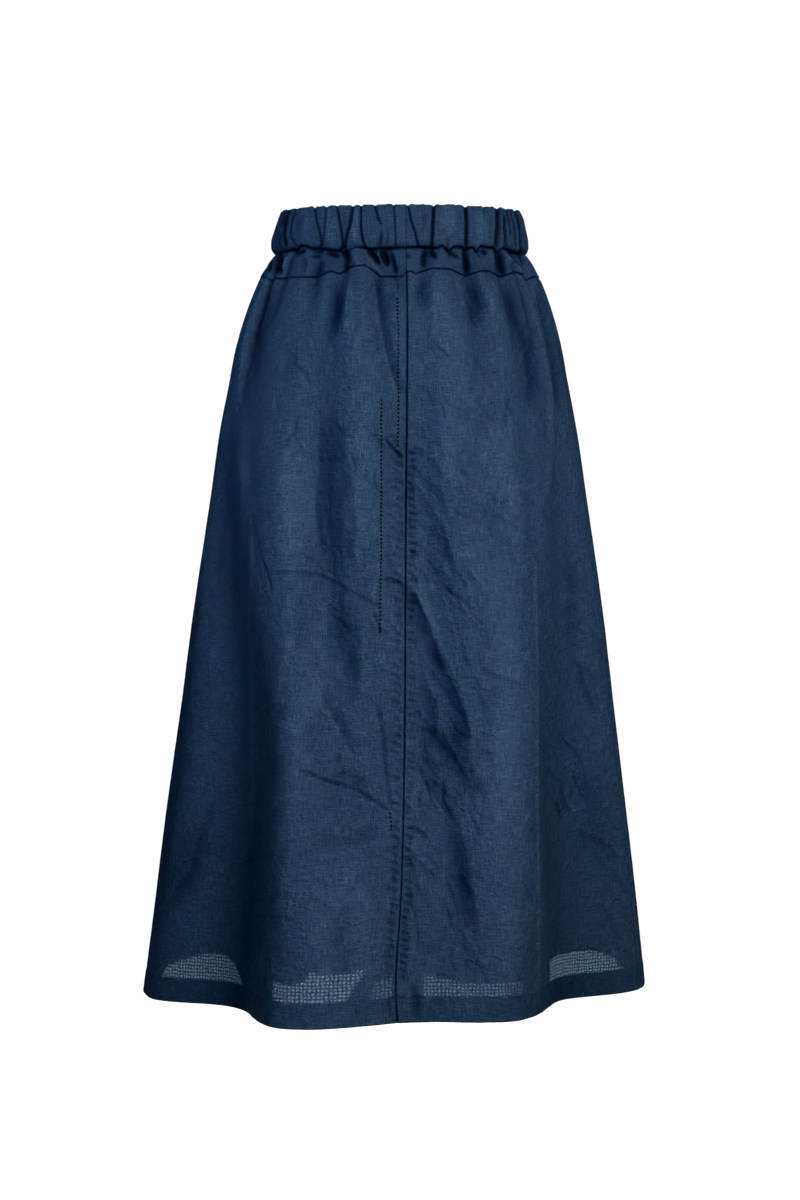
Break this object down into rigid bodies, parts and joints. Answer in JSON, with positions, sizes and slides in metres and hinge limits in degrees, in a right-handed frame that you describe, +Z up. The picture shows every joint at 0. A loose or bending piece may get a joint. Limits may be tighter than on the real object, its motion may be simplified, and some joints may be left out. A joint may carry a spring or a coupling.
{
  "type": "gathered skirt",
  "caption": "Flared midi skirt in plain linen with a gathered elastic waist, a seam down the centre front and a turned-up hem, in its worn shape.",
  "frame": {"origin": "middle of the waist opening, half way up the elastic casing", "axes": "+Z up from the hem to the waist, -Y out of the front, +X towards the right of someone who faces the front"},
  "size_m": [0.4805, 0.3981, 0.758],
  "materials": {
    "linen_casing": "navy plain-weave linen, gathered over elastic",
    "linen_strip": "navy plain-weave linen, gathered",
    "linen_panel": "navy plain-weave linen, washed and lightly crumpled, a little open in the weave"
  },
  "bodies": {
    "root": {"casing_front_left": "linen_casing", "casing_front_right": "linen_casing", "casing_back": "linen_casing", "waist_strip_front_left": "linen_strip", "waist_strip_front_right": "linen_strip", "waist_strip_back": "linen_strip", "panel_front_left": "linen_panel", "panel_front_right": "linen_panel", "panel_back": "linen_panel"}
  },
  "joints": []
}
